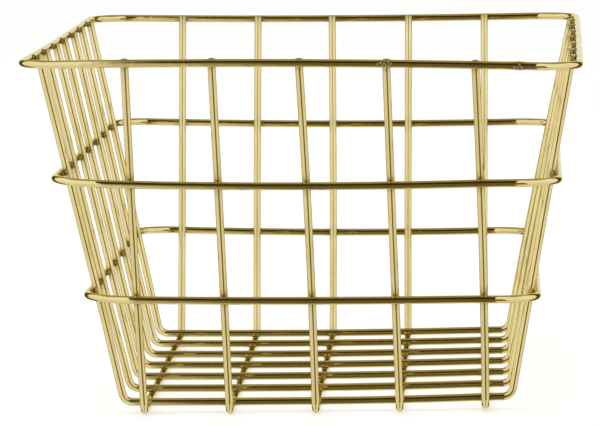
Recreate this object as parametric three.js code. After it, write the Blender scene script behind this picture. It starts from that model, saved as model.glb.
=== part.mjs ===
import * as THREE from 'three';

// A tapered basket of round wire that stands on z = 0, with its middle on the Z axis.
// X runs across the basket and Y along it. Lengths are in millimetres, angles in degrees.

const wireDiameter = 3.5;
const weldGap = 0.3; // between the surfaces of two wires where they cross
const basketHeight = 161.5; // from the floor it stands on to the top of the rim
const floorWidth = 163; // straight run of a cross wire over the floor
const floorDepth = 239; // straight run of a long wire over the floor
const sideLean = 12; // outward lean of the two long walls
const endLean = 12; // outward lean of the two short walls
const bendRadius = 6; // centre line of the bend from the floor to a wall
const wireInset = 5.5; // from the end of a straight run to the outermost wire that crosses it
const longWireCount = 5;
const crossWireCount = 7;
const lowerRingHeight = 52.5; // centre line
const upperRingHeight = 105; // centre line
const ringCornerRadius = 20; // centre line

// Finish of the plated wire
const brassColour = 0xd8b968;
const brassRoughness = 0.16;
const brassMetalness = 1;

// Flat facets that stand for the round section and the bends
const wireSides = 12;
const bendSteps = 6;
const cornerSteps = 8;

// Heights and spacings that follow from the driving dimensions
const wireRadius = wireDiameter / 2;
const longWireLevel = wireRadius;
const crossWireLevel = longWireLevel + wireDiameter + weldGap;
const rimHeight = basketHeight - wireRadius;
const sideLeanAngle = THREE.MathUtils.degToRad(sideLean);
const endLeanAngle = THREE.MathUtils.degToRad(endLean);
const outerLongWire = floorWidth / 2 - wireInset;
const outerCrossWire = floorDepth / 2 - wireInset;

// A path through stations with their own tangents: a straight run is one step, a bend is several.
class WirePath extends THREE.Curve {
  constructor(stations) {
    super();
    this.stations = stations;
    this.steps = stations.length - 1;
  }

  blend(t, key, target) {
    const place = t * this.steps;
    const index = Math.min(Math.floor(place), this.steps - 1);
    return target.lerpVectors(this.stations[index][key], this.stations[index + 1][key], place - index);
  }

  getPoint(t, target = new THREE.Vector3()) {
    return this.blend(t, 'point', target);
  }

  getTangent(t, target = new THREE.Vector3()) {
    return this.blend(t, 'tangent', target).normalize();
  }

  getUtoTmapping(u) {
    return u;
  }
}

// Distance from the basket's middle to the centre line of a leg, at a height above the floor
function legOffset(floorRun, lean, level, height) {
  const bendTangent = bendRadius * Math.tan((Math.PI / 2 - lean) / 2);
  return floorRun / 2 + bendTangent + (height - level) * Math.tan(lean);
}

// A wire bent like a wide U in an upright plane: leg, bend, floor run, bend, leg
function bentWirePath(direction, floorRun, lean, level) {
  const up = new THREE.Vector3(0, 0, 1);
  const turn = Math.PI / 2 - lean;
  const endHeight = basketHeight - wireRadius * Math.sin(lean);
  const station = (along, height, slope) => ({
    point: direction.clone().multiplyScalar(along).addScaledVector(up, height),
    tangent: direction.clone().multiplyScalar(Math.cos(slope)).addScaledVector(up, Math.sin(slope)),
  });
  const stations = [];
  for (let step = 0; step <= bendSteps; step++) {
    const slope = turn * step / bendSteps;
    const along = floorRun / 2 + bendRadius * Math.sin(slope);
    const height = level + bendRadius * (1 - Math.cos(slope));
    stations.unshift(station(-along, height, -slope));
    stations.push(station(along, height, slope));
  }
  const endOffset = legOffset(floorRun, lean, level, endHeight);
  stations.unshift(station(-endOffset, endHeight, -turn));
  stations.push(station(endOffset, endHeight, turn));
  return new WirePath(stations);
}

// A closed loop with round corners that lies against the outside of the legs at its height
function ringPath(height) {
  const stackedWires = wireDiameter + weldGap;
  const halfWidth = legOffset(floorWidth, sideLeanAngle, crossWireLevel, height)
    + stackedWires / Math.cos(sideLeanAngle);
  const halfDepth = legOffset(floorDepth, endLeanAngle, longWireLevel, height)
    + stackedWires / Math.cos(endLeanAngle);
  const radius = Math.min(ringCornerRadius, halfWidth - outerLongWire, halfDepth - outerCrossWire);
  const corners = [[1, 1], [-1, 1], [-1, -1], [1, -1]];
  const stations = [];
  corners.forEach(([sideX, sideY], corner) => {
    const centre = new THREE.Vector3(sideX * (halfWidth - radius), sideY * (halfDepth - radius), 0);
    for (let step = 0; step <= cornerSteps; step++) {
      const angle = (corner + step / cornerSteps) * Math.PI / 2;
      const outward = new THREE.Vector3(Math.cos(angle), Math.sin(angle), 0);
      stations.push({
        point: centre.clone().addScaledVector(outward, radius),
        tangent: new THREE.Vector3(-outward.y, outward.x, 0),
      });
    }
  });
  stations.push(stations[0]);
  return new WirePath(stations);
}

// The section of a bent wire, with flat facets to the floor and to the wires it crosses
function wireSection() {
  const cornerRadius = wireRadius / Math.cos(Math.PI / wireSides);
  const corners = [];
  for (let side = 0; side < wireSides; side++) {
    const angle = (side + 0.5) * 2 * Math.PI / wireSides;
    corners.push(new THREE.Vector2(cornerRadius * Math.cos(angle), cornerRadius * Math.sin(angle)));
  }
  return new THREE.Shape(corners);
}

function wireMesh(name, geometry) {
  const brass = new THREE.MeshStandardMaterial({
    color: brassColour,
    roughness: brassRoughness,
    metalness: brassMetalness,
  });
  const mesh = new THREE.Mesh(geometry, brass);
  mesh.name = name;
  return mesh;
}

function bentWire(name, path) {
  const geometry = new THREE.ExtrudeGeometry(wireSection(), { extrudePath: path, steps: path.steps });
  return wireMesh(name, geometry);
}

function ring(name, height) {
  const path = ringPath(height);
  const mesh = wireMesh(name, new THREE.TubeGeometry(path, path.steps, wireRadius, wireSides, true));
  mesh.position.z = height;
  return mesh;
}

// Wires that run along the basket, stand on the floor and climb both short walls
function longWires() {
  const group = new THREE.Group();
  const alongY = new THREE.Vector3(0, 1, 0);
  for (let index = 0; index < longWireCount; index++) {
    const path = bentWirePath(alongY, floorDepth, endLeanAngle, longWireLevel);
    const wire = bentWire(`long_wire_${index + 1}`, path);
    wire.position.x = THREE.MathUtils.lerp(-outerLongWire, outerLongWire, index / (longWireCount - 1));
    group.add(wire);
  }
  return group;
}

// Wires that run across the basket, lie on the long wires and climb both long walls
function crossWires() {
  const group = new THREE.Group();
  const alongX = new THREE.Vector3(1, 0, 0);
  for (let index = 0; index < crossWireCount; index++) {
    const path = bentWirePath(alongX, floorWidth, sideLeanAngle, crossWireLevel);
    const wire = bentWire(`cross_wire_${index + 1}`, path);
    wire.position.y = THREE.MathUtils.lerp(-outerCrossWire, outerCrossWire, index / (crossWireCount - 1));
    group.add(wire);
  }
  return group;
}

// Closed rings that hold the legs from outside
function rings() {
  const group = new THREE.Group();
  group.add(ring('lower_ring', lowerRingHeight));
  group.add(ring('upper_ring', upperRingHeight));
  group.add(ring('rim_ring', rimHeight));
  return group;
}

const basket = new THREE.Group();
basket.add(longWires(), crossWires(), rings());

export default basket;
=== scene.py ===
"""Looks of a tapered basket of polished brass wire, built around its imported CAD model.

Lengths are in metres, in the frame of the CAD model: X across the basket, Y along it and Z up, with the
origin in the middle of the surface that the basket stands on.
"""

import logging
import math
from dataclasses import dataclass, field
from enum import Enum
from functools import cache
from typing import Any

import bpy
import numpy as np
from mathutils import Matrix, Vector


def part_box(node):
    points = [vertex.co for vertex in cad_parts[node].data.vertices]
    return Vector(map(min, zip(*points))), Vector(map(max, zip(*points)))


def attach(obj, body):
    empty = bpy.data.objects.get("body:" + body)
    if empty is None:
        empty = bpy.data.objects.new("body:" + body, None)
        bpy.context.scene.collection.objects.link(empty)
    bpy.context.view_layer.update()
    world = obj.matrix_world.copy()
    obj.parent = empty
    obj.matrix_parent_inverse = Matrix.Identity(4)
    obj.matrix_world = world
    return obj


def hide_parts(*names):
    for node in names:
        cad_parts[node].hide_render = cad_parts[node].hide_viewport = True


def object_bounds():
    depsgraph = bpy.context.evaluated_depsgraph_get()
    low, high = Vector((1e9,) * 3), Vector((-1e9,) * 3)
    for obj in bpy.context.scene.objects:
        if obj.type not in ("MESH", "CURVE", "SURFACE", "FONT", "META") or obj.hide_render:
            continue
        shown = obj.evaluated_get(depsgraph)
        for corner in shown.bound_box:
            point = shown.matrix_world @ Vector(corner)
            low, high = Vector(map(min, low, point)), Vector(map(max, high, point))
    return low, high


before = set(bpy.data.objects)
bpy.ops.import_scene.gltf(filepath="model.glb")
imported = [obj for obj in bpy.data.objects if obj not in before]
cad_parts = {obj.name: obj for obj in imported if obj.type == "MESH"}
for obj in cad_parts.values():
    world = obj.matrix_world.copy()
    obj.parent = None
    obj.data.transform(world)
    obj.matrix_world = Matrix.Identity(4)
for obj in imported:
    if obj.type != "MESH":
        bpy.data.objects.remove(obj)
CAD_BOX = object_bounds()

MM = 0.001
UP = np.array((0.0, 0.0, 1.0))
BODY = "root"
# Nearness to a weld, which darkens the plate: partly a heat tint, partly painted contact shade.
WELD_ATTRIBUTE = "weld"
WIRE_UV = "wire_run"
DRAPE_CLIMB = "climb"
DRAPE_DEPTH = "depth"
NOISE_RANGE = (0.3, 0.7)
WHITE = (1.0, 1.0, 1.0, 1.0)
LOG = logging.getLogger("basket")

Colour = tuple[float, float, float, float]
Lengths = tuple[float, ...]
Pair = tuple[float, float]
Socket = bpy.types.NodeSocket
Weld = tuple[np.ndarray, np.ndarray]


def mm(*values: float) -> Lengths:
    """Lengths in metres, from millimetres."""
    return tuple(value * MM for value in values)


@cache
def node_box(name: str) -> tuple[Vector, Vector]:
    """Low and high corner of a CAD node."""
    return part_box(name)


def unit(vectors: np.ndarray) -> np.ndarray:
    """Vectors of length 1 with the same directions, one for each row."""
    return vectors / np.linalg.norm(vectors, axis=-1, keepdims=True)


def full_turn(sides: int) -> np.ndarray:
    """Even angles round a circle."""
    return np.arange(sides) * 2 * math.pi / sides


def divide(start: np.ndarray, end: np.ndarray, step: float) -> np.ndarray:
    """Points about a step apart from a start, which is left out, to an end."""
    parts = max(1, round(float(np.linalg.norm(end - start)) / step))
    return start + (end - start) * np.arange(1, parts + 1)[:, None] / parts


def grid_faces(rows: int, columns: int, ring: bool = False, tube: bool = False) -> list[list[int]]:
    """Joins rows of points with four-cornered faces.

    Args:
        rows: Rows of points.
        columns: Points in each row.
        ring: True to join the last row to the first one.
        tube: True to close each row.

    Returns:
        The corners of each face.
    """
    faces = []
    for row in range(rows if ring else rows - 1):
        here, there = row * columns, (row + 1) % rows * columns
        for column in range(columns if tube else columns - 1):
            after = (column + 1) % columns
            faces.append([here + column, here + after, there + after, there + column])
    return faces


def end_caps(rows: int, columns: int) -> list[list[int]]:
    """Faces that close the first and the last row of a tube."""
    return [list(range(columns))[::-1], [(rows - 1) * columns + column for column in range(columns)]]


def mesh_object(name: str, points: list, faces: list[list[int]]) -> bpy.types.Object:
    """Makes a mesh object.

    Args:
        name: Name of the object and of its mesh.
        points: Its points.
        faces: The corners of each face.

    Returns:
        The object, linked to the scene.
    """
    mesh = bpy.data.meshes.new(name)
    mesh.from_pydata(points, [], faces)
    made = bpy.data.objects.new(name, mesh)
    bpy.context.scene.collection.objects.link(made)
    return made


def point_values(mesh: bpy.types.Mesh, name: str, values: np.ndarray) -> None:
    """Writes a number for each point of a mesh, as a named attribute."""
    layer = mesh.attributes.new(name, "FLOAT", "POINT")
    layer.data.foreach_set("value", values.astype(np.float32))


def dress(piece: bpy.types.Object, finish: bpy.types.Material, *nodes: str) -> bpy.types.Object:
    """Gives a piece its finish and its place in the frame.

    Args:
        piece: The mesh object.
        finish: Its material.
        nodes: CAD nodes that it stands for.

    Returns:
        The same piece.
    """
    piece.data.materials.append(finish)
    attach(piece, BODY)
    if nodes:
        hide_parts(*nodes)
    return piece


class Graph:
    """Shader nodes of a material or of the world.

    Attributes:
        owner: The material or the world.
        tree: Its nodes.
    """

    def __init__(self, owner: bpy.types.Material | bpy.types.World) -> None:
        """Turns on the nodes of a material or of the world."""
        owner.use_nodes = True
        self.owner, self.tree = owner, owner.node_tree

    @classmethod
    def bare(cls, name: str) -> "Graph":
        """Nodes of a new material that has no shader yet.

        Args:
            name: Name of the material.

        Returns:
            The nodes.
        """
        graph = cls(bpy.data.materials.new(name))
        graph.tree.nodes.remove(graph.tree.nodes["Principled BSDF"])
        return graph

    def add(self, kind: str, inputs: dict[str | int, Any] | None = None, **settings: Any) -> bpy.types.Node:
        """Adds a node.

        Args:
            kind: Type of the node, without its prefix.
            inputs: What goes into its inputs, as for feed.
            settings: The node's own settings.

        Returns:
            The node.
        """
        node = self.tree.nodes.new(f"ShaderNode{kind}")
        for name, value in settings.items():
            setattr(node, name, value)
        self.feed(node, inputs or {})
        return node

    def feed(self, node: bpy.types.Node, inputs: dict[str | int, Any]) -> None:
        """Links or sets the inputs of a node.

        Args:
            node: The node.
            inputs: For each input's name or number, a socket to link or a value to set.
        """
        for name, value in inputs.items():
            if isinstance(value, Socket):
                self.tree.links.new(value, node.inputs[name])
            else:
                node.inputs[name].default_value = value

    def show(self, shader: Socket) -> None:
        """Links a shader to the output."""
        output = next(node for node in self.tree.nodes if node.bl_idname.startswith("ShaderNodeOutput"))
        self.feed(output, {"Surface": shader})

    def seen_directly(self) -> Socket:
        """Adds a switch for rays that show the background.

        Returns:
            1 for camera, glossy and transmission rays, otherwise 0.
        """
        path = self.add("LightPath").outputs
        seen = self.maths("MAXIMUM", path["Is Camera Ray"], path["Is Glossy Ray"])
        return self.maths("MAXIMUM", seen, path["Is Transmission Ray"])

    def attribute(self, name: str) -> Socket:
        """Reads a named attribute of the mesh."""
        return self.add("Attribute", attribute_name=name).outputs["Fac"]

    def maths(self, operation: str, *values: Any) -> Socket:
        """Works out a number from others."""
        return self.add("Math", dict(enumerate(values)), operation=operation).outputs["Value"]

    def noise(self, place: Socket, scale: float, detail: float) -> Socket:
        """Adds noise around a half, with features per metre and octaves of finer noise."""
        return self.add("TexNoise", {"Vector": place, "Scale": scale, "Detail": detail}).outputs["Fac"]

    def rescale(self, value: Socket, given: Pair, wanted: Pair) -> Socket:
        """Maps a number from the range that is given to the one that is wanted."""
        ends = dict(zip(("From Min", "From Max", "To Min", "To Max"), (*given, *wanted)))
        return self.add("MapRange", {"Value": value, **ends}).outputs["Result"]

    def ramp(self, value: Socket, stops: list[tuple[float, Colour]]) -> Socket:
        """Turns a number into a colour.

        Args:
            value: The number.
            stops: Numbers in rising order, with their colours.

        Returns:
            The colour.
        """
        node = self.add("ValToRGB", {"Fac": value})
        made = node.color_ramp.elements
        for end in (0, -1):
            made[end].position, made[end].color = stops[end]
        for position, colour in stops[1:-1]:
            made.new(position).color = colour
        return node.outputs["Color"]

    def mix(self, share: Socket, first: Any, second: Any) -> Socket:
        """Mixes two colours.

        Args:
            share: Share of the second colour.
            first: The first colour, as a value or a socket.
            second: The second colour.

        Returns:
            The mixed colour.
        """
        node = self.add("Mix", {"Factor": share}, data_type="RGBA")
        numbers = [number for number, socket in enumerate(node.inputs) if socket.type == "RGBA"]
        self.feed(node, dict(zip(numbers, (first, second))))
        return next(socket for socket in node.outputs if socket.type == "RGBA")


class Run(Enum):
    """The way that a bent wire lies on the floor of the basket."""

    ALONG = (0.0, 1.0, 0.0)
    ACROSS = (1.0, 0.0, 0.0)

    @property
    def node(self) -> str:
        """Name of the CAD nodes of these wires, without their number."""
        return "long_wire" if self is Run.ALONG else "cross_wire"

    @property
    def walls(self) -> tuple["Wall", "Wall"]:
        """The walls at the low and the high end of the floor run."""
        return (Wall.FRONT, Wall.BACK) if self is Run.ALONG else (Wall.LEFT, Wall.RIGHT)

    @property
    def axis(self) -> np.ndarray:
        """Direction of the floor run."""
        return np.array(self.value)

    @property
    def across(self) -> np.ndarray:
        """Normal of the upright plane in which the wire is bent."""
        return np.cross(self.axis, UP)


class Wall(Enum):
    """A wall of the basket, by the level direction that it faces."""

    FRONT = (0.0, -1.0)
    BACK = (0.0, 1.0)
    LEFT = (-1.0, 0.0)
    RIGHT = (1.0, 0.0)

    @property
    def is_end(self) -> bool:
        """True for the two short walls."""
        return self in (Wall.FRONT, Wall.BACK)

    @property
    def axis_number(self) -> int:
        """Number of the axis that the wall faces, 0 for X and 1 for Y."""
        return int(self.is_end)

    @property
    def level(self) -> np.ndarray:
        """Level direction that the wall faces."""
        return np.array((*self.value, 0.0))


@dataclass(frozen=True)
class Spot:
    """A place on a wall.

    Attributes:
        wall: The wall.
        along: Where it lies along the wall.
    """

    wall: Wall
    along: float


@dataclass(frozen=True)
class AsMade:
    """How far the welded basket strays from its drawing.

    Attributes:
        set_down: How far a leg and a ring sink together at a weld, with the drawing's gap.
        floor_set_down: The same for two wires of the floor.
        shift: Place of the basket's middle across the frame.
        twist: Turn of the floor against the rim, in radians.
        rack: Sideways slip of the walls for each metre of height.
        tilt: Drop of the rings for each metre to the right.
        left_reach: How much further the floor reaches on the left.
        right_reach: How much further the floor reaches on the right.
        right_flare: How far the top of the right wall stands out at the back.
        flare_power: How sharply that flare sets in towards the wall.
        right_foot: How far the foot of the right wall stands out at the back.
        right_lean_ease: How much straighter the right wall stands than the left one, in radians.
        sway: Largest sideways wander of a bent wire.
        front_bellies: Sideways bulge of each long wire half way up the front wall, from left to right.
        back_bellies: The same for the back wall.
        front_leans: Sideways place of each long wire at the top of the front wall, from left to right.
        back_leans: The same for the back wall.
        long_strays: How far to the right each long wire lies on the floor, from left to right.
        cross_strays: How far back each cross wire lies on the floor, from front to back.
        stray_power: How fast a wire comes back to its drawn place as it climbs a wall.
        left_sets: How far each cross wire stands inside the left wall, from front to back.
        right_sets: The same for the right wall.
        left_lifts: How far the floor rises at the left, at the front and at the back.
        right_lifts: The same for the right.
        foot_fade: Height at which the rise and the right foot have faded out.
    """

    set_down: float = 0.5 * MM
    floor_set_down: float = 1.0 * MM
    shift: float = 1.25 * MM
    twist: float = 0.0153
    rack: float = -0.0063
    tilt: float = 0.0049
    left_reach: float = -0.5 * MM
    right_reach: float = 0.7 * MM
    right_flare: float = 1.6 * MM
    flare_power: int = 4
    right_foot: float = 1.0 * MM
    right_lean_ease: float = math.radians(0.6)
    sway: float = 0.1 * MM
    front_bellies: Lengths = mm(-0.6, 0.0, 0.7, -0.4, 0.5)
    back_bellies: Lengths = mm(0.2, 0.0, 0.4, -0.1, 0.0)
    front_leans: Lengths = mm(0.1, 0.0, -0.2, -0.55, 0.0)
    back_leans: Lengths = mm(0.0, 0.2, -0.5, 0.3, 0.0)
    long_strays: Lengths = mm(0.0, 0.0, 0.0, -0.65, -0.8)
    cross_strays: Lengths = mm(-1.0, 2.0, 1.5, 0.0, -2.0, -3.0, -4.0)
    stray_power: int = 3
    left_sets: Lengths = mm(0.6, -0.5, -0.1, -0.5, 0.0, -0.3, 0.1)
    right_sets: Lengths = mm(0.0, 0.45, -0.4, 0.45, -0.4, 0.4, -0.3)
    left_lifts: Lengths = mm(0.3, 0.8)
    right_lifts: Lengths = mm(1.3, 0.5)
    foot_fade: float = 45.0 * MM

    def strain(self, points: np.ndarray) -> np.ndarray:
        """Moves points of the straight basket to where they lie in the twisted one.

        Args:
            points: Points, one row each.

        Returns:
            The moved points.
        """
        x, y, z = points.T
        half_width, half_depth, height = CAD_BOX[1]
        turn = self.twist * (1 - z / height)
        to_front = (half_depth - y) / (2 * half_depth)
        to_right = np.clip(x / half_width, 0.0, 1.0) ** self.flare_power
        flare = self.right_flare * z / height * to_right * (1 - to_front**2)
        to_side = np.clip(np.abs(x) / node_box("long_wire_5")[1].x, 0.0, 1.0) ** 2
        near_floor = to_side * np.clip(1 - z / self.foot_fade, 0.0, 1.0)
        front = np.where(x > 0, self.right_lifts[0], self.left_lifts[0])
        back = np.where(x > 0, self.right_lifts[1], self.left_lifts[1])
        lift = near_floor * (back + (front - back) * to_front)
        foot = self.right_foot * near_floor * np.where(x > 0, 1 - to_front, 0.0)
        across = x + self.shift + self.rack * z - turn * y + flare + foot
        return np.stack([across, y + turn * x, z + lift], axis=1)

    def strain_point(self, point: np.ndarray) -> np.ndarray:
        """Moves one point in the same way."""
        return self.strain(point[None, :])[0]


@dataclass(frozen=True)
class BasketForm:
    """Sizes that the wires share, read from the CAD nodes, and two bends that the nodes' boxes don't tell.

    Attributes:
        made: How the basket strays from its drawing.
        bend_radius: Centre line of the bend from the floor to a wall, a little tighter than drawn.
        corner_radius: Centre line of a ring's corners.
    """

    made: AsMade
    bend_radius: float = 5.0 * MM
    corner_radius: float = 20.0 * MM

    @property
    def wire_radius(self) -> float:
        """Radius of the round wire."""
        low, high = node_box("rim_ring")
        return (high.z - low.z) / 2

    @property
    def height(self) -> float:
        """Top of the rim above the surface that the basket stands on."""
        return CAD_BOX[1].z

    @property
    def stacked(self) -> float:
        """Distance between the centre lines of two wires that cross in the CAD model."""
        return node_box("cross_wire_1")[0].z

    @property
    def weld_gap(self) -> float:
        """Distance between the centre lines of a leg and a ring that are welded."""
        return self.stacked - self.made.set_down

    def drawn_lean(self, wall: Wall) -> float:
        """Lean of one wall in the CAD model, in radians from upright."""
        top, bottom = node_box("rim_ring")[1], node_box("lower_ring")[1]
        return math.atan2(top[wall.axis_number] - bottom[wall.axis_number], top.z - bottom.z)

    def lean(self, wall: Wall) -> float:
        """Lean of one wall as it was made, in radians from upright."""
        return self.drawn_lean(wall) - (self.made.right_lean_ease if wall is Wall.RIGHT else 0.0)

    def outward(self, wall: Wall) -> np.ndarray:
        """Unit vector square to a wall, away from the basket, which dips below level by the lean."""
        return wall.level * math.cos(self.lean(wall)) - UP * math.sin(self.lean(wall))

    def floor_level(self, run: Run) -> float:
        """Height of the centre line of a floor run.

        Args:
            run: The way that the wire lies.

        Returns:
            The height in the CAD model, less the set-down for the wires that lie on others.
        """
        if run is Run.ALONG:
            return self.wire_radius
        return self.wire_radius + self.stacked - self.made.floor_set_down

    def leg_offset(self, wall: Wall, height: float) -> float:
        """Distance from the basket's middle to the centre line of a leg.

        Args:
            wall: The wall that the leg climbs.
            height: Height above the surface that the basket stands on.

        Returns:
            The level distance along the wall's axis.
        """
        drawn = self.drawn_lean(wall)
        rim = node_box("rim_ring")[1]
        base_height = self.wire_radius + (0.0 if wall.is_end else self.stacked)
        rim_leg = rim[wall.axis_number] - self.wire_radius - self.stacked / math.cos(drawn)
        base = rim_leg - (rim.z - self.wire_radius - base_height) * math.tan(drawn)
        base += {Wall.LEFT: self.made.left_reach, Wall.RIGHT: self.made.right_reach}.get(wall, 0.0)
        return base + (height - base_height) * math.tan(self.lean(wall))

    def ring_offset(self, wall: Wall, height: float) -> float:
        """Distance from the basket's middle to the centre line of a ring at its height."""
        return self.leg_offset(wall, height) + self.weld_gap / math.cos(self.lean(wall))


@dataclass(frozen=True)
class BrassPlate:
    """Polished brass plate over drawn wire.

    Attributes:
        name: Name of the material.
        pale: Colour of the plate where it is thick.
        deep: Colour of the plate where it is thin.
        stain: Colour round a weld and a cut end: partly a heat tint, partly painted contact shade where the
            wires meet.
        stain_shares: Least and most of that colour that shows at the middle of a weld.
        stain_scale: Mottling of that colour, per metre.
        stain_detail: Octaves of the mottling.
        smooth: Roughness of the best polished stretches.
        dull: Roughness of the least polished stretches.
        weld_dulling: Roughness that a weld adds.
        rim_tint: Tint of the reflection where the surface turns away from the eye.
        tone_scale: Patches of plate tone, per metre.
        tone_detail: Octaves of the patches.
        peel_scale: Soft waves in the polish, per metre.
        peel_detail: Octaves of the waves.
        peel_depth: Height of the waves.
        line_scale: Drawing lines along and round the wire, per metre.
        line_detail: Octaves of the drawing lines.
        line_depth: Height of the drawing lines.
    """

    name: str = "polished_brass_plate"
    pale: Colour = (0.87, 0.74, 0.37, 1.0)
    deep: Colour = (0.80, 0.655, 0.285, 1.0)
    stain: Colour = (0.20, 0.135, 0.045, 1.0)
    stain_shares: Pair = (0.56, 0.8)
    stain_scale: float = 900.0
    stain_detail: float = 2.0
    smooth: float = 0.04
    dull: float = 0.09
    weld_dulling: float = 0.18
    rim_tint: Colour = (0.82, 0.77, 0.45, 1.0)
    tone_scale: float = 45.0
    tone_detail: float = 3.0
    peel_scale: float = 260.0
    peel_detail: float = 1.0
    peel_depth: float = 0.012 * MM
    line_scale: tuple[float, float, float] = (15.0, 1800.0, 1.0)
    line_detail: float = 2.0
    line_depth: float = 0.0006 * MM

    def material(self) -> bpy.types.Material:
        """Builds the node material.

        Returns:
            The material, ready to assign.
        """
        graph = Graph(bpy.data.materials.new(self.name))
        place = graph.add("TexCoord").outputs["Object"]
        tone = graph.noise(place, self.tone_scale, self.tone_detail)
        plate = graph.ramp(tone, list(zip(NOISE_RANGE, (self.deep, self.pale))))
        polish = graph.rescale(tone, NOISE_RANGE, (self.dull, self.smooth))
        # Darker colour round each weld and cut end: partly a heat tint, partly painted contact shade where
        # the wires meet.
        mottle = graph.noise(place, self.stain_scale, self.stain_detail)
        mottled_stain_and_shade = graph.rescale(mottle, NOISE_RANGE, self.stain_shares)
        stain = graph.maths("MULTIPLY", graph.attribute(WELD_ATTRIBUTE), mottled_stain_and_shade)
        inputs = {
            "Metallic": 1.0,
            "Specular Tint": self.rim_tint,
            "Base Color": graph.mix(stain, plate, self.stain),
            "Roughness": graph.maths("MULTIPLY_ADD", stain, self.weld_dulling, polish),
            "Normal": self._relief(graph, place),
        }
        graph.feed(graph.tree.nodes["Principled BSDF"], inputs)
        return graph.owner

    def _relief(self, graph: Graph, place: Socket) -> Socket:
        """Adds the soft waves of the polish and the fine lines left by drawing the wire.

        Args:
            graph: The material's nodes.
            place: Object coordinates.

        Returns:
            The bumped normal.
        """
        peel = graph.noise(place, self.peel_scale, self.peel_detail)
        waves = graph.add("Bump", {"Distance": self.peel_depth, "Height": peel}).outputs["Normal"]
        run = graph.add("UVMap", uv_map=WIRE_UV).outputs["UV"]
        stretched = graph.add("Mapping", {"Vector": run, "Scale": self.line_scale}).outputs["Vector"]
        lines = graph.noise(stretched, 1.0, self.line_detail)
        relief = {"Distance": self.line_depth, "Height": lines, "Normal": waves}
        return graph.add("Bump", relief).outputs["Normal"]


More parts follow.
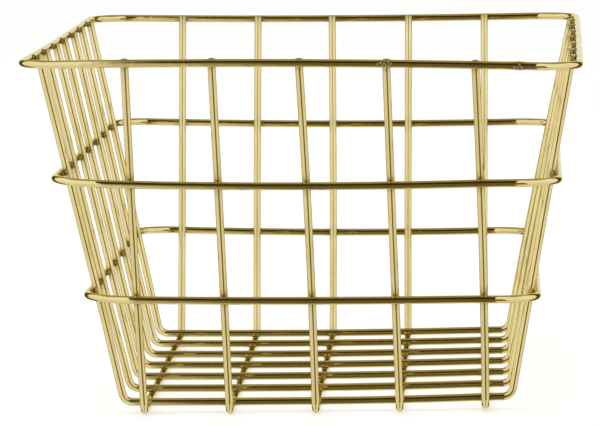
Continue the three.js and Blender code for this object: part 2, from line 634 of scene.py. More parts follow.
@dataclass
class WireSweep:
    """A round wire swept along its centre line.

    Attributes:
        name: Name of the piece.
        line: Points of the centre line, one row each.
        across: Normal of the plane in which the wire is bent.
        radius: Radius of the wire.
        closed: True for a ring.
        welds: Points where the wire is welded, one row each.
        swelling: Radius factor at each point of the line and each side, or None for an even wire.
        sides: Faces round the wire.
        chamfer: Chamfer of a cut end.
        weld_core: Distance from a weld within which its heat tint and painted contact shade are even, as a
            share of the wire's radius.
        weld_reach: How far beyond that the heat tint and painted contact shade show.
    """

    name: str
    line: np.ndarray
    across: np.ndarray
    radius: float
    closed: bool
    welds: np.ndarray
    swelling: np.ndarray | None = None
    sides: int = 28
    chamfer: float = 0.25 * MM
    weld_core: float = 0.5
    weld_reach: float = 2.2 * MM

    def build(self) -> bpy.types.Object:
        """Makes the mesh object.

        Returns:
            The wire, linked to the scene.
        """
        line, radii = self._stations()
        tangents = self._tangents(line)
        first = unit(self.across - np.sum(self.across * tangents, axis=1, keepdims=True) * tangents)
        second = np.cross(tangents, first)
        angles = full_turn(self.sides)[None, :, None]
        section = np.cos(angles) * first[:, None, :] + np.sin(angles) * second[:, None, :]
        points = (line[:, None, :] + radii[:, :, None] * section).reshape(-1, 3)
        faces = grid_faces(len(line), self.sides, self.closed, True)
        if not self.closed:
            faces += end_caps(len(line), self.sides)
        wire = mesh_object(self.name, points.tolist(), faces)
        self._lay_out(wire.data, line)
        self._sharpen(wire.data, len(line))
        # Nearness to a weld or a cut end, which carries the heat tint and the painted contact shade.
        distance = np.linalg.norm(points[:, None, :] - self.welds[None, :, :], axis=2).min(axis=1)
        beyond_weld_core = np.maximum(distance - self.weld_core * self.radius, 0.0) / self.weld_reach
        point_values(wire.data, WELD_ATTRIBUTE, np.exp(-(beyond_weld_core**2)))
        wire.data.validate()
        return wire

    def _stations(self) -> tuple[np.ndarray, np.ndarray]:
        """Adds the chamfers to an open line.

        Returns:
            The points of the line, and the radius at each point and side.
        """
        radii = np.full((len(self.line), self.sides), self.radius)
        if self.swelling is not None:
            radii = radii * self.swelling
        if self.closed:
            return self.line, radii
        after_start = self.line[0] + unit(self.line[1] - self.line[0]) * self.chamfer
        before_finish = self.line[-1] + unit(self.line[-2] - self.line[-1]) * self.chamfer
        line = np.vstack([self.line[:1], after_start, self.line[1:-1], before_finish, self.line[-1:]])
        cut = radii[:1] - self.chamfer
        return line, np.vstack([cut, radii[:1], radii[1:-1], radii[-1:], cut])

    def _tangents(self, line: np.ndarray) -> np.ndarray:
        """Unit tangents of the line.

        Args:
            line: Points of the line.

        Returns:
            One unit vector for each point.
        """
        if self.closed:
            return unit(np.roll(line, -1, axis=0) - np.roll(line, 1, axis=0))
        steps = unit(np.diff(line, axis=0))
        return unit(np.vstack([steps[:1], steps[1:] + steps[:-1], steps[-1:]]))

    def _lay_out(self, mesh: bpy.types.Mesh, line: np.ndarray) -> None:
        """Writes a UV map in metres: along the wire, and round it.

        Args:
            mesh: The swept mesh.
            line: Points of the line.
        """
        closing = line[:1] if self.closed else np.empty((0, 3))
        lengths = np.linalg.norm(np.diff(np.vstack([line, closing]), axis=0), axis=1)
        along = np.concatenate([[0.0], np.cumsum(lengths)])
        rows = len(along) - 1
        girth = 2 * math.pi * self.radius / self.sides
        side = np.arange(self.sides)
        corners = np.empty((rows, self.sides, 4, 2))
        corners[:, :, 0:2, 0] = along[:-1, None, None]
        corners[:, :, 2:4, 0] = along[1:, None, None]
        corners[:, :, (0, 3), 1] = side[None, :, None] * girth
        corners[:, :, (1, 2), 1] = (side[None, :, None] + 1) * girth
        flat = np.zeros((len(mesh.loops), 2))
        flat[: rows * self.sides * 4] = corners.reshape(-1, 2)
        layer = mesh.uv_layers.new(name=WIRE_UV)
        layer.uv.foreach_set("vector", flat.astype(np.float32).ravel())

    def _sharpen(self, mesh: bpy.types.Mesh, count: int) -> None:
        """Shades the wire smooth, with crisp edges at its cut ends.

        Args:
            mesh: The swept mesh.
            count: Number of sections.
        """
        smooth = np.ones(len(mesh.polygons), dtype=bool)
        if not self.closed:
            smooth[-2:] = False
            pairs = np.zeros(len(mesh.edges) * 2, dtype=np.int32)
            mesh.edges.foreach_get("vertices", pairs)
            section = pairs.reshape(-1, 2) // self.sides
            at_end = np.isin(section[:, 0], (0, 1, count - 2, count - 1))
            sharp = mesh.attributes.new("sharp_edge", "BOOLEAN", "EDGE")
            sharp.data.foreach_set("value", (section[:, 0] == section[:, 1]) & at_end)
        mesh.polygons.foreach_set("use_smooth", smooth)


@dataclass
class BentWire:
    """A wire that climbs a wall, crosses the floor and climbs the opposite wall.

    Attributes:
        form: Sizes of the basket.
        run: The way that its floor run lies.
        number: Its number, counted from the left or from the front.
        welds: Points where it is welded.
        step: Length of a section on a straight stretch.
        bend_steps: Sections in a bend.
        waves: Waves of its sideways wander along its length.
        wave_shift: How far those waves shift from one wire to the next, in radians.
        inset_fade: Share of the height over which a leg's inset grows.
    """

    form: BasketForm
    run: Run
    number: int
    welds: list[np.ndarray] = field(default_factory=list)
    step: float = 3.0 * MM
    bend_steps: int = 12
    waves: float = 2.5
    wave_shift: float = 2.4
    inset_fade: float = 0.25

    @property
    def node(self) -> str:
        """Name of its CAD node."""
        return f"{self.run.node}_{self.number}"

    @property
    def place(self) -> float:
        """Where the CAD node's plane stands, along the other level axis."""
        low, high = node_box(self.node)
        return (low[0] + high[0]) / 2 if self.run is Run.ALONG else (low[1] + high[1]) / 2

    def place_at(self, along: float, height: float) -> float:
        """Where the wire itself stands, at a distance from the basket's middle and a height."""
        return self.place + float(self.wander(np.array([(along, height)]))[0])

    def wander(self, rows: np.ndarray) -> np.ndarray:
        """Sideways distance from the CAD node's plane.

        Args:
            rows: Rows of level distance from the basket's middle and height.

        Returns:
            The distance at each row.
        """
        made, index, along = self.form.made, self.number - 1, rows[:, 0]
        half = self.form.ring_offset(self.run.walls[1], self.form.height)
        sway = made.sway * np.sin(math.pi * self.waves * along / half + self.number * self.wave_shift)
        climb = rows[:, 1] / self.form.height
        strays = made.long_strays if self.run is Run.ALONG else made.cross_strays
        sway += strays[index] * (1 - climb) ** made.stray_power
        if self.run is Run.ACROSS:
            return sway
        bellies = np.where(along < 0, made.front_bellies[index], made.back_bellies[index])
        leans = np.where(along < 0, made.front_leans[index], made.back_leans[index])
        return sway + bellies * np.sin(math.pi * climb) + leans * climb

    def inset(self, rows: np.ndarray) -> np.ndarray:
        """Level distance by which the legs stand inside their walls.

        Args:
            rows: Rows of level distance from the basket's middle and height.

        Returns:
            The distance to the right at each row, which fades out towards the floor.
        """
        if self.run is Run.ALONG:
            return np.zeros(len(rows))
        made, index = self.form.made, self.number - 1
        fade = np.clip(rows[:, 1] / self.form.height / self.inset_fade, 0.0, 1.0)
        return fade * np.where(rows[:, 0] < 0, made.left_sets[index], -made.right_sets[index])

    def profile(self, rim: "Ring") -> np.ndarray:
        """Centre line in the wire's own plane.

        Args:
            rim: The ring at which the legs are trimmed.

        Returns:
            Rows of level distance and height, from the top of the low leg to the top of the high leg.
        """
        low, high = (self._half(wall, rim.trim(Spot(wall, self.place))) for wall in self.run.walls)
        corners = np.array([(-along, height) for along, height in reversed(low)] + high)
        stretches = [divide(start, end, self.step) for start, end in zip(corners[:-1], corners[1:])]
        return np.vstack([corners[:1], *stretches])

    def _half(self, wall: Wall, top: float) -> list[Pair]:
        """Corners of the line from the floor to the top of one leg.

        Args:
            wall: The wall that the leg climbs.
            top: Height of the end of the leg.

        Returns:
            Pairs of distance from the middle and height.
        """
        form = self.form
        level, turn = form.floor_level(self.run), math.pi / 2 - form.lean(wall)
        bend_start = form.leg_offset(wall, level) - form.bend_radius * math.tan(turn / 2)
        rows = []
        for slope in np.linspace(0.0, turn, self.bend_steps + 1):
            along = bend_start + form.bend_radius * math.sin(slope)
            rows.append((along, level + form.bend_radius * (1 - math.cos(slope))))
        return rows + [(form.leg_offset(wall, top), top)]

    def join(self, ring: "Ring") -> list[Weld]:
        """Welds the two legs to a ring.

        Args:
            ring: The ring.

        Returns:
            The welds at the low and the high wall.
        """
        joints = []
        for wall, sign in zip(self.run.walls, (-1, 1)):
            along = sign * self.form.leg_offset(wall, ring.height)
            joints.append(ring.weld(Spot(wall, self.place_at(along, ring.height))))
        self.welds += [middle for middle, _ in joints]
        return joints

    def lie_on(self, under: "BentWire") -> Weld:
        """Welds a cross wire to a long wire that it lies on.

        Args:
            under: The long wire.

        Returns:
            The point between the two centre lines, and the way up.
        """
        low, high = self.form.floor_level(under.run), self.form.floor_level(self.run)
        x = under.place_at(self.place, low)
        y = self.place_at(x, high)
        middle = self.form.made.strain_point(np.array((x, y, (low + high) / 2)))
        self.welds.append(middle)
        under.welds.append(middle)
        return middle, UP

    def build(self, rim: "Ring", finish: bpy.types.Material) -> bpy.types.Object:
        """Makes the wire.

        Args:
            rim: The ring at which its ends are trimmed.
            finish: Its material.

        Returns:
            The wire, dressed.
        """
        rows = self.profile(rim)
        level = np.outer(rows[:, 0] + self.inset(rows), self.run.axis)
        sideways = np.outer(self.place + self.wander(rows), np.abs(self.run.across))
        line = self.form.made.strain(level + sideways + np.outer(rows[:, 1], UP))
        # Welds and cut ends, where the heat tint and the painted contact shade sit.
        tint_and_shade_spots = np.vstack([*self.welds, line[0], line[-1]])
        sweep = WireSweep(f"brass_{self.node}", line, self.run.across, self.form.wire_radius, False, tint_and_shade_spots)
        return dress(sweep.build(), finish, self.node)


@dataclass(frozen=True)
class Span:
    """How the front or back span of a ring strays in height, from -1 at its left to 1 at its right end.

    Attributes:
        lift: Height at the middle.
        slope: Rise from the middle to the right end.
        bow: Rise from the middle to both ends.
        tips: Further rise at the left and the right end, past the outer legs.
        tip_start: Where the further rise starts.
    """

    lift: float
    slope: float
    bow: float
    tips: Lengths = (0.0, 0.0)
    tip_start: float = 0.65

    def rise(self, share: float) -> float:
        """Height at a place between the two ends.

        Args:
            share: The place, from -1 to 1.

        Returns:
            The height.
        """
        past_legs = max(abs(share) - self.tip_start, 0.0) / (1 - self.tip_start)
        left, right = self.tips
        tip = (right if share > 0 else left) * past_legs**2
        return self.lift + self.slope * share + self.bow * share**2 + tip


@dataclass
class Ring:
    """A closed wire round the outside of the legs.

    Attributes:
        form: Sizes of the basket.
        node: CAD node name.
        front: How the front span strays in height.
        back: How the back span strays in height.
        left_sag: Fall of the left span between its ends.
        seam: Place of the butt weld that closes the ring.
        ceiling: Largest height above the CAD ring.
        sag_power: How sharply the fall sets in towards the left wall.
        peek: How far the ends of the legs stand above the ring.
        seam_length: Half length of the lump at the butt weld.
        seam_rise: Height of that lump, as a share of the wire's radius.
        seam_unevenness: How much the lump's height varies round the wire.
        seam_lobes: How often it rises and falls round the wire.
        seam_turn: Turn of those rises round the wire, in radians.
        step: Length of a section on a straight stretch.
        corner_steps: Sections in a corner.
    """

    form: BasketForm
    node: str
    front: Span
    back: Span
    left_sag: float
    seam: Spot
    ceiling: float = 3.0 * MM
    sag_power: int = 4
    peek: float = 0.2 * MM
    seam_length: float = 1.7 * MM
    seam_rise: float = 0.08
    seam_unevenness: float = 0.5
    seam_lobes: int = 2
    seam_turn: float = 1.0
    step: float = 3.0 * MM
    corner_steps: int = 16

    @property
    def height(self) -> float:
        """Height of the CAD ring's centre line."""
        low, high = node_box(self.node)
        return (low.z + high.z) / 2

    def reach(self, wall: Wall) -> float:
        """Level distance from the basket's middle to the ring at one wall."""
        return self.form.ring_offset(wall, self.height)

    def rise(self, x: float, y: float) -> float:
        """Height of the ring above its CAD height.

        Args:
            x: Place across the basket.
            y: Place along the basket.

        Returns:
            The height, which is negative where the ring hangs low.
        """
        left, right, depth = self.reach(Wall.LEFT), self.reach(Wall.RIGHT), self.reach(Wall.BACK)
        share = (2 * x + left - right) / (left + right)
        back_share = (y + depth) / (2 * depth)
        free = self.front.rise(share) * (1 - back_share) + self.back.rise(share) * back_share
        to_left = min(max(-x / left, 0.0), 1.0) ** self.sag_power
        sag = self.left_sag * to_left * (1 - (y / depth) ** 2)
        return min(free - self.form.made.tilt * x, self.ceiling) - sag

    def settle(self, x: float, y: float) -> np.ndarray:
        """Moves a point of the level loop to where the made ring lies against its walls.

        Args:
            x: Place across the basket.
            y: Place along the basket.

        Returns:
            The point on the ring's centre line.
        """
        rise = self.rise(x, y)
        side = Wall.RIGHT if x > 0 else Wall.LEFT
        out = 1 + rise * math.tan(self.form.lean(side)) / self.reach(side)
        along = 1 + rise * math.tan(self.form.lean(Wall.BACK)) / self.reach(Wall.BACK)
        return np.array((x * out, y * along, self.height + rise))

    def point(self, spot: Spot) -> np.ndarray:
        """Point of the ring's centre line at a place on a wall.

        Args:
            spot: The place.

        Returns:
            The point, before the basket's twist.
        """
        reach = self.reach(spot.wall)
        side_x, side_y = spot.wall.value
        if spot.wall.is_end:
            return self.settle(spot.along, reach * side_y)
        return self.settle(reach * side_x, spot.along)

    def trim(self, spot: Spot) -> float:
        """Height of the end of a leg that is trimmed at the ring.

        Args:
            spot: The leg's place on its wall.

        Returns:
            The height of the leg's centre line, so that its outer edge stands just above the ring.
        """
        radius = self.form.wire_radius
        edge = min(self.point(spot)[2] + radius + self.peek, self.form.height)
        return float(edge - radius * math.sin(self.form.lean(spot.wall)))

    def loop(self) -> np.ndarray:
        """Centre line of the ring.

        Returns:
            Points in order round the ring.
        """
        radius = self.form.corner_radius
        left, right = -self.reach(Wall.LEFT) + radius, self.reach(Wall.RIGHT) - radius
        depth = self.reach(Wall.BACK) - radius
        centres = [(right, depth), (left, depth), (left, -depth), (right, -depth)]
        arcs = []
        for corner, centre in enumerate(centres):
            angles = (corner + np.linspace(0.0, 1.0, self.corner_steps + 1)) * math.pi / 2
            arcs.append(centre + radius * np.stack([np.cos(angles), np.sin(angles)], axis=1))
        flat = []
        for arc, after in zip(arcs, arcs[1:] + arcs[:1]):
            flat += [arc, divide(arc[-1], after[0], self.step)[:-1]]
        return self.form.made.strain(np.array([self.settle(x, y) for x, y in np.vstack(flat)]))

    def weld(self, spot: Spot) -> Weld:
        """Where a leg is welded to the ring.

        Args:
            spot: The leg's place on its wall.

        Returns:
            The middle of the weld, and the direction from the leg to the ring.
        """
        outward = self.form.outward(spot.wall)
        middle = self.point(spot) - outward * self.form.weld_gap / 2
        return self.form.made.strain_point(middle), outward

    def drop(self, spot: Spot, up: float) -> Weld:
        """Where a drop of weld metal sits on the outer face of the ring.

        Args:
            spot: The drop's place on its wall.
            up: Height of the drop above the ring's centre line.

        Returns:
            The middle of the drop, and the direction square to the wire.
        """
        radius = self.form.wire_radius
        outward = spot.wall.level * math.sqrt(radius**2 - up**2) / radius + UP * up / radius
        return self.form.made.strain_point(self.point(spot) + outward * radius), outward

    def seam_swelling(self, line: np.ndarray, seam: np.ndarray, sides: int) -> np.ndarray:
        """Lump of the butt weld.

        Args:
            line: Centre line of the ring.
            seam: Middle of the butt weld.
            sides: Faces round the wire.

        Returns:
            Radius factor at each point and side.
        """
        distance = np.linalg.norm(line - seam, axis=1)
        ridge = np.exp(-((distance / self.seam_length) ** 2))
        lumps = 1 + self.seam_unevenness * np.sin(self.seam_lobes * full_turn(sides) + self.seam_turn)
        return 1 + self.seam_rise * ridge[:, None] * lumps[None, :]

    def build(self, welds: list[Weld], finish: bpy.types.Material) -> bpy.types.Object:
        """Makes the ring.

        Args:
            welds: Where legs are welded to it.
            finish: Its material.

        Returns:
            The ring, dressed.
        """
        line = self.loop()
        seam = self.form.made.strain_point(self.point(self.seam))
        # Leg welds and the butt seam, which take the heat tint and the painted contact shade.
        tint_and_shade_spots = np.vstack([*(middle for middle, _ in welds), seam])
        sweep = WireSweep(f"brass_{self.node}", line, UP, self.form.wire_radius, True, tint_and_shade_spots)
        sweep.swelling = self.seam_swelling(line, seam, sweep.sides)
        return dress(sweep.build(), finish, self.node)


@dataclass
class WeldNuggets:
    """Beads of metal squeezed out between two wires where they are welded.

    Attributes:
        name: Name of the piece.
        ceiling: Height at which the beads are trimmed flush.
        width: Radius of a bead across the weld.
        thickness: Half thickness of a bead along the line between the wires.
        unevenness: How much a bead's radius varies.
        lobes: Waves of the unevenness round a bead, each with its shift in radians from bead to bead.
        steep: How much of a bead's axis stands upright where the bead is set out along the X axis.
        sides: Faces round a bead.
        layers: Rows of faces from the middle of a bead to each end.
    """

    name: str
    ceiling: float
    width: float = 1.45 * MM
    thickness: float = 0.75 * MM
    unevenness: float = 0.12
    lobes: tuple[Pair, ...] = ((2, 1.0), (3, 2.3))
    steep: float = 0.7
    sides: int = 16
    layers: int = 3

    @property
    def rows(self) -> int:
        """Rows of points in a bead."""
        return 2 * self.layers + 1

    def bead(self, weld: Weld, number: int) -> np.ndarray:
        """Shapes one bead.

        Args:
            weld: Middle of the weld, and the direction from one wire to the other.
            number: Number of the weld, which sets the bead's unevenness.

        Returns:
            The bead's points, row by row.
        """
        middle, axis = weld
        first = unit(np.cross(axis, UP if abs(axis[2]) < self.steep else Run.ACROSS.axis))
        second = np.cross(axis, first)
        angles = full_turn(self.sides)
        waves = [np.sin(count * angles + shift * number) for count, shift in self.lobes]
        uneven = 1 + self.unevenness * np.mean(waves, axis=0)
        around = np.outer(np.cos(angles) * uneven, first) + np.outer(np.sin(angles) * uneven, second)
        points = []
        for row in range(self.rows):
            tilt = math.pi * (row + 0.5) / self.rows - math.pi / 2
            out, along = self.width * math.cos(tilt), self.thickness * math.sin(tilt)
            points.append(middle + around * out + axis * along)
        shape = np.vstack(points)
        shape[:, 2] = np.minimum(shape[:, 2], self.ceiling)
        return shape

    def build(self, welds: list[Weld], finish: bpy.types.Material) -> bpy.types.Object:
        """Makes the beads of one row of welds as one piece.

        Args:
            welds: Middle and axis of each weld.
            finish: Their material.

        Returns:
            The beads, dressed.
        """
        points = np.vstack([self.bead(weld, number) for number, weld in enumerate(welds)])
        one = grid_faces(self.rows, self.sides, tube=True) + end_caps(self.rows, self.sides)
        starts = [number * self.rows * self.sides for number in range(len(welds))]
        faces = [[start + corner for corner in face] for start in starts for face in one]
        beads = mesh_object(self.name, points.tolist(), faces)
        beads.data.uv_layers.new(name=WIRE_UV)
        # The beads take the full heat tint and painted contact shade.
        point_values(beads.data, WELD_ATTRIBUTE, np.ones(len(points)))
        beads.data.shade_smooth()
        return dress(beads, finish)


@dataclass
class Basket:
    """The whole weldment.

    Attributes:
        form: Sizes of the basket.
        plate: Finish of the wires.
        long_count: Wires that run along the basket.
        cross_count: Wires that run across it.
        rough_wire: Number of the long wire with the roughest weld at the front of the rim.
        spatter: Drops of metal at that weld, in millimetres along the wall and up.
        burr: Drops of metal at the rim's butt weld, in the same way.
        drop_width: Radius of a drop.
        drop_thickness: Half thickness of a drop.
        drop_unevenness: How much a drop's radius varies.
    """

    form: BasketForm
    plate: BrassPlate
    long_count: int = 5
    cross_count: int = 7
    rough_wire: int = 4
    spatter: tuple[Pair, ...] = (
        (-3.9, -0.1),
        (-2.5, 0.4),
        (-1.9, -0.7),
        (-1.0, 0.2),
        (-0.3, -0.6),
        (0.6, 0.8),
        (1.0, -0.8),
        (1.7, 0.1),
    )
    burr: tuple[Pair, ...] = ((-1.7, -0.5), (-0.1, -0.6), (1.4, -0.5), (0.5, 0.7))
    drop_width: float = 0.55 * MM
    drop_thickness: float = 0.4 * MM
    drop_unevenness: float = 0.25

    def rings(self) -> list[Ring]:
        """The three rings, from the rim down, with the way that each one hangs.

        Returns:
            The rings.
        """
        rim = Ring(
            self.form,
            "rim_ring",
            front=Span(*mm(-1.05, -1.4, -1.4)),
            back=Span(*mm(-1.87, -0.3, 1.07)),
            left_sag=0.8 * MM,
            seam=Spot(Wall.FRONT, 95 * MM),
            ceiling=0.0,
        )
        upper = Ring(
            self.form,
            "upper_ring",
            front=Span(*mm(-0.85, -0.35, 2.0), tips=mm(0.5, -1.1)),
            back=Span(*mm(0.5, -0.85, 1.5)),
            left_sag=0.8 * MM,
            seam=Spot(Wall.RIGHT, 57 * MM),
        )
        lower = Ring(
            self.form,
            "lower_ring",
            front=Span(*mm(0.0, -0.3, 0.9), tips=mm(0.3, -1.1)),
            back=Span(*mm(-0.65, -0.85, 1.5)),
            left_sag=1.1 * MM,
            seam=Spot(Wall.RIGHT, -57 * MM),
        )
        return [rim, upper, lower]

    def rim_drops(self, rim: Ring, rough_weld: Spot) -> list[Weld]:
        """Drops of weld metal on the front of the rim.

        Args:
            rim: The rim.
            rough_weld: Place of its roughest weld.

        Returns:
            Middle and axis of each drop.
        """
        drops = []
        for middle, places in ((rough_weld, self.spatter), (rim.seam, self.burr)):
            for along, up in places:
                drops.append(rim.drop(Spot(middle.wall, middle.along + along * MM), up * MM))
        return drops

    def build(self) -> list[bpy.types.Object]:
        """Makes every wire and every row of weld beads.

        Returns:
            The pieces, rings first.
        """
        finish = self.plate.material()
        ceiling = self.form.height - self.form.made.set_down
        long_wires = [BentWire(self.form, Run.ALONG, number + 1) for number in range(self.long_count)]
        cross_wires = [BentWire(self.form, Run.ACROSS, number + 1) for number in range(self.cross_count)]
        wires = long_wires + cross_wires
        rings = self.rings()
        rim = rings[0]
        pieces = []
        for ring in rings:
            leg_welds = [weld for wire in wires for weld in wire.join(ring)]
            pieces.append(ring.build(leg_welds, finish))
            pieces.append(WeldNuggets(f"{ring.node}_welds", ceiling).build(leg_welds, finish))
        drops = self.rim_drops(rim, Spot(Wall.FRONT, long_wires[self.rough_wire - 1].place))
        drop_form = (self.drop_width, self.drop_thickness, self.drop_unevenness)
        pieces.append(WeldNuggets("rim_ring_spatter", ceiling, *drop_form).build(drops, finish))
        floor_welds = [upper.lie_on(lower) for lower in long_wires for upper in cross_wires]
        pieces += [wire.build(rim, finish) for wire in wires]
        pieces.append(WeldNuggets("floor_welds", ceiling).build(floor_welds, finish))
        return pieces


@dataclass(frozen=True)
class Viewpoint:
    """The photograph's camera.

    Attributes:
        place: Where it stands.
        yaw: Turn to the right from +Y, in radians.
        pitch: Tilt below level, in radians.
        roll: Turn about the line of sight, in radians.
        focal_pixels: Focal length in pixels of the photograph.
        image_width: Width of the photograph in pixels.
        sensor: Width of the sensor, in Blender's millimetres.
    """

    place: Lengths = mm(102.84, -2008.1, 291.2)
    yaw: float = -0.05576
    pitch: float = 0.10636
    roll: float = -0.01658
    focal_pixels: float = 4300.0
    image_width: float = 600.0
    sensor: float = 36.0

    def build(self) -> bpy.types.Object:
        """Makes the camera and hands it to the scene.

        Returns:
            The camera.
        """
        lens = bpy.data.cameras.new("photo_camera")
        lens.sensor_fit = "HORIZONTAL"
        lens.sensor_width = self.sensor
        lens.lens = self.focal_pixels / self.image_width * self.sensor
        level = Vector((math.cos(self.yaw), -math.sin(self.yaw), 0.0))
        ahead = math.cos(self.pitch)
        forward = Vector((math.sin(self.yaw) * ahead, math.cos(self.yaw) * ahead, -math.sin(self.pitch)))
        upright = level.cross(forward)
        right = level * math.cos(self.roll) + upright * math.sin(self.roll)
        up = upright * math.cos(self.roll) - level * math.sin(self.roll)
        turn = Matrix((right, up, -forward)).transposed().to_4x4()
        camera = bpy.data.objects.new("photo_camera", lens)
        camera.matrix_world = Matrix.Translation(self.place) @ turn
        bpy.context.scene.collection.objects.link(camera)
        bpy.context.scene.camera = camera
        return camera


@dataclass(frozen=True)
class WhiteSurround:
    """A world that looks white and lights the floor softly.

    Attributes:
        name: Name of the world.
        ambient: Strength as light on the floor.
        below: Strength well below level, as the wires mirror it.
        fade: Where that strength ends and the full one starts, as sines of the angle from level.
    """

    name: str = "white_surround"
    ambient: float = 0.60
    below: float = 0.82
    fade: Pair = (-0.42, -0.05)

    def world(self) -> bpy.types.World:
        """Builds the node world.

        Returns:
            The world, ready to assign.
        """
        graph = Graph(bpy.data.worlds.new(self.name))
        light = graph.tree.nodes["Background"]
        graph.feed(light, {"Color": WHITE, "Strength": self.ambient})
        towards = graph.add("TexCoord").outputs["Generated"]
        sine = graph.add("SeparateXYZ", {"Vector": towards}).outputs["Z"]
        strength = graph.rescale(sine, self.fade, (self.below, 1.0))
        white = graph.add("Background", {"Color": WHITE, "Strength": strength})
        shares = {"Fac": graph.seen_directly(), 1: light.outputs[0], 2: white.outputs[0]}
        graph.show(graph.add("MixShader", shares).outputs["Shader"])
        return graph.owner


@dataclass(frozen=True)
class FloorPaint:
    """Matt pale paint, with a glow that lets the floor meet the white surround.

    Attributes:
        name: Name of the material.
        colour: Colour of the paint.
        glow: Strength of the glow, for rays that show the background.
    """

    name: str = "pale_floor"
    colour: Colour = (0.86, 0.86, 0.85, 1.0)
    glow: float = 0.45

    def material(self) -> bpy.types.Material:
        """Builds the node material.

        Returns:
            The material, ready to assign.
        """
        graph = Graph.bare(self.name)
        matt = graph.add("BsdfDiffuse", {"Color": self.colour})
        strength = graph.maths("MULTIPLY", graph.seen_directly(), self.glow)
        glow = graph.add("Emission", {"Strength": strength})
        graph.show(graph.add("AddShader", {0: matt.outputs[0], 1: glow.outputs[0]}).outputs["Shader"])
        return graph.owner


@dataclass(frozen=True)
class PlainCloth:
    """Cloth that shows one colour in any light.

    Attributes:
        name: Name of the material.
        colour: The colour.
    """

    name: str
    colour: Colour

    def material(self) -> bpy.types.Material:
        """Builds the node material.

        Returns:
            The material, ready to assign.
        """
        graph = Graph.bare(self.name)
        graph.show(graph.add("Emission", {"Color": self.colour}).outputs["Emission"])
        return graph.owner


@dataclass(frozen=True)
class ShadedCloth:
    """Cloth whose colour changes from its foot to its top, in any light, with a pale fringe on the left.

    Attributes:
        name: Name of the material.
        tones: Colours from the foot to the top, each with its angle from level, in degrees.
        fringe: Colour of the fringe at its outer edge.
    """

    name: str = "dark_drape"
    tones: tuple[tuple[float, Colour], ...] = (
        (-92.0, (0.40, 0.34, 0.17, 1.0)),
        (-70.0, (0.22, 0.18, 0.075, 1.0)),
        (-60.0, (0.15, 0.123, 0.055, 1.0)),
        (8.0, (0.14, 0.114, 0.047, 1.0)),
        (20.0, (0.035, 0.022, 0.004, 1.0)),
        (50.0, (0.035, 0.022, 0.004, 1.0)),
        (75.0, (0.20, 0.16, 0.06, 1.0)),
    )
    fringe: Colour = (0.80, 0.77, 0.68, 1.0)

    @property
    def ends(self) -> Pair:
        """Angles of the foot and the top from level, in degrees."""
        return self.tones[0][0], self.tones[-1][0]

    def material(self) -> bpy.types.Material:
        """Builds the node material.

        Returns:
            The material, ready to assign.
        """
        graph = Graph.bare(self.name)
        low, high = self.ends
        stops = [((angle - low) / (high - low), colour) for angle, colour in self.tones]
        inside = graph.ramp(graph.attribute(DRAPE_CLIMB), stops)
        colour = graph.mix(graph.attribute(DRAPE_DEPTH), self.fringe, inside)
        graph.show(graph.add("Emission", {"Color": colour}).outputs["Emission"])
        return graph.owner


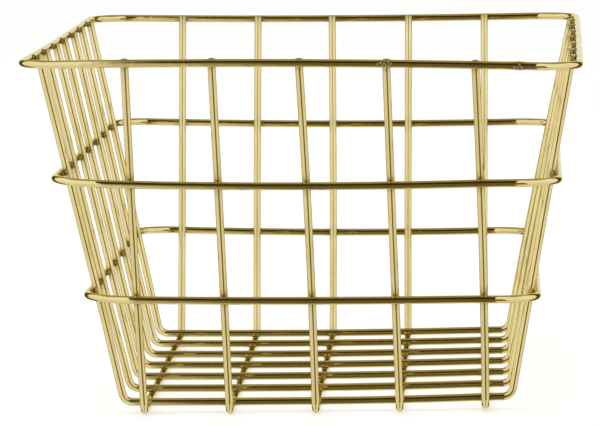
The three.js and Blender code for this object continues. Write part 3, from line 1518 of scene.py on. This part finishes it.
@dataclass(frozen=True)
class Screens:
    """Dark screens round the basket, which only its polished wires show.

    Attributes:
        drape: Finish of the drape on the camera's side, for the dark bands on the wires.
        drape_radius: Distance of the drape from the basket.
        drape_rows: Rows of faces in the drape.
        drape_turn: Where its sides pass from below to above level, as sines of the angle from level.
        drape_lefts: Left edge of the drape below and above level.
        drape_inners: Where the pale fringe at its left edge ends.
        drape_rights: Right edge of the drape below and above level.
        wing: Finish of the wing on the right of the drape.
        wing_ends: Lowest and highest edge of the wing, as angles from level, in degrees.
        wing_rights: Right edge of the wing, which starts at the drape's right edge.
        flag: Finish of the two flags behind the basket, for the darker edges of the wires.
        flag_foot: Front and back corner of the right flag at its foot, from above.
        flag_top: The same at its top.
        flag_height: How far the flags reach up and down.
        canopy: Finish of the canopy over the basket, for the darker upper edges of the rings.
        canopy_side: How far the canopy reaches to the left and to the right.
        canopy_line: Its fall from front to back, as places along the basket's axis and heights.
    """

    drape: ShadedCloth = ShadedCloth()
    drape_radius: float = 3.0
    drape_rows: int = 48
    drape_turn: Pair = (-0.2, 0.3)
    drape_lefts: Pair = (-0.40, -0.37)
    drape_inners: Pair = (-0.17, -0.35)
    drape_rights: Pair = (0.40, 0.55)
    wing: PlainCloth = PlainCloth("brown_wing", (0.24, 0.175, 0.02, 1.0))
    wing_ends: Pair = (-45.0, 12.0)
    wing_rights: Pair = (1.9, 1.4)
    flag: PlainCloth = PlainCloth("grey_flag", (0.09, 0.07, 0.03, 1.0))
    flag_foot: tuple[Pair, Pair] = ((2.65, 1.4), (1.4, 2.65))
    flag_top: tuple[Pair, Pair] = ((2.2, 2.0), (1.4, 2.65))
    flag_height: float = 2.5
    canopy: PlainCloth = PlainCloth("olive_canopy", (0.36, 0.32, 0.20, 1.0))
    canopy_side: float = 2.5
    canopy_line: tuple[Pair, ...] = ((-0.75, 3.0), (1.8, 3.0), (4.2, 2.0))

    def build(self) -> None:
        """Makes every screen."""
        drape_edges = (self.drape_lefts, self.drape_inners, self.drape_rights)
        wing_edges = (self.drape_rights, self.wing_rights)
        self._hang("dark_drape", self.drape.ends, drape_edges, self.drape.material())
        self._hang("brown_wing", self.wing_ends, wing_edges, self.wing.material())
        flag_finish = self.flag.material()
        levels = ((self.flag_foot, -self.flag_height), (self.flag_top, self.flag_height))
        for name, side in (("left_flag", -1.0), ("right_flag", 1.0)):
            points = [(side * x, y, z) for corners, z in levels for x, y in corners]
            self._screen(name, points, 2, flag_finish)
        points = [(side * self.canopy_side, y, z) for y, z in self.canopy_line for side in (-1.0, 1.0)]
        self._screen("olive_canopy", points, 2, self.canopy.material())

    def _hang(self, name: str, ends: Pair, edges: tuple[Pair, ...], finish: bpy.types.Material) -> None:
        """Hangs a strip of cloth in an arc round the basket.

        Args:
            name: Name of the strip.
            ends: Angles of its lowest and highest edge from level, in degrees.
            edges: Upright lines from its left to its right edge, each below and above level.
            finish: Its material.
        """
        middle, radius = CAD_BOX[1].z / 2, self.drape_radius
        columns, rows = len(edges), self.drape_rows + 1
        points = []
        for angle in np.radians(np.linspace(*ends, rows)):
            share = float(np.interp(math.sin(angle), self.drape_turn, (0.0, 1.0)))
            y, z = -radius * math.cos(angle), middle + radius * math.sin(angle)
            points += [(below + (above - below) * share, y, z) for below, above in edges]
        mesh = self._screen(name, points, columns, finish).data
        point_values(mesh, DRAPE_CLIMB, np.repeat(np.linspace(0.0, 1.0, rows), columns))
        point_values(mesh, DRAPE_DEPTH, np.tile(np.minimum(np.arange(columns), 1), rows))

    @staticmethod
    def _screen(name: str, points: list, columns: int, finish: bpy.types.Material) -> bpy.types.Object:
        """Adds a screen to the stage that only polished surfaces show.

        Args:
            name: Name of the screen.
            points: Its points, row by row.
            columns: Points in each row.
            finish: Its material.

        Returns:
            The screen.
        """
        screen = mesh_object(name, points, grid_faces(len(points) // columns, columns))
        screen.data.materials.append(finish)
        for ray in ("camera", "diffuse", "shadow", "transmission"):
            setattr(screen, f"visible_{ray}", False)
        return screen


@dataclass
class Studio:
    """Pale floor, white surround and a soft lamp, with dark screens for the polished wires.

    Attributes:
        surround: What lies beyond the floor.
        paint: Finish of the floor.
        screens: What the wires mirror.
        floor_size: Side of the square floor.
        lamp_place: Where the lamp hangs.
        lamp_side: Side of the square lamp.
        lamp_power: Power of the lamp, in watts.
    """

    surround: WhiteSurround = WhiteSurround()
    paint: FloorPaint = FloorPaint()
    screens: Screens = Screens()
    floor_size: float = 24.0
    lamp_place: tuple[float, float, float] = (-0.5, -0.3, 2.2)
    lamp_side: float = 1.8
    lamp_power: float = 8.0

    def build(self) -> None:
        """Makes the whole stage."""
        bpy.context.scene.view_settings.view_transform = "Standard"
        bpy.context.scene.world = self.surround.world()
        self._floor()
        self.screens.build()
        self._lamp()

    def _floor(self) -> None:
        """Makes the pale floor, which takes the basket's shadow."""
        half = self.floor_size / 2
        corners = [(x, y, 0.0) for y in (-half, half) for x in (-half, half)]
        floor = mesh_object("pale_floor", corners, grid_faces(2, 2))
        floor.data.materials.append(self.paint.material())
        floor.visible_glossy = False

    def _lamp(self) -> None:
        """Hangs a soft lamp over the basket, for the floor alone."""
        light = bpy.data.lights.new("soft_lamp", "AREA")
        light.shape = "SQUARE"
        light.size = self.lamp_side
        light.energy = self.lamp_power
        lamp = bpy.data.objects.new("soft_lamp", light)
        lamp.location = self.lamp_place
        lamp.rotation_euler = Vector(lamp.location).to_track_quat("Z", "Y").to_euler()
        lamp.visible_glossy = False
        bpy.context.scene.collection.objects.link(lamp)


def main() -> None:
    """Builds the stage and the basket."""
    logging.basicConfig(level=logging.INFO, format="%(name)s: %(message)s")
    Viewpoint().build()
    Studio().build()
    pieces = Basket(BasketForm(AsMade()), BrassPlate()).build()
    for piece in pieces:
        LOG.info("%s: %d faces", piece.name, len(piece.data.polygons))


if __name__ == "__main__":
    main()
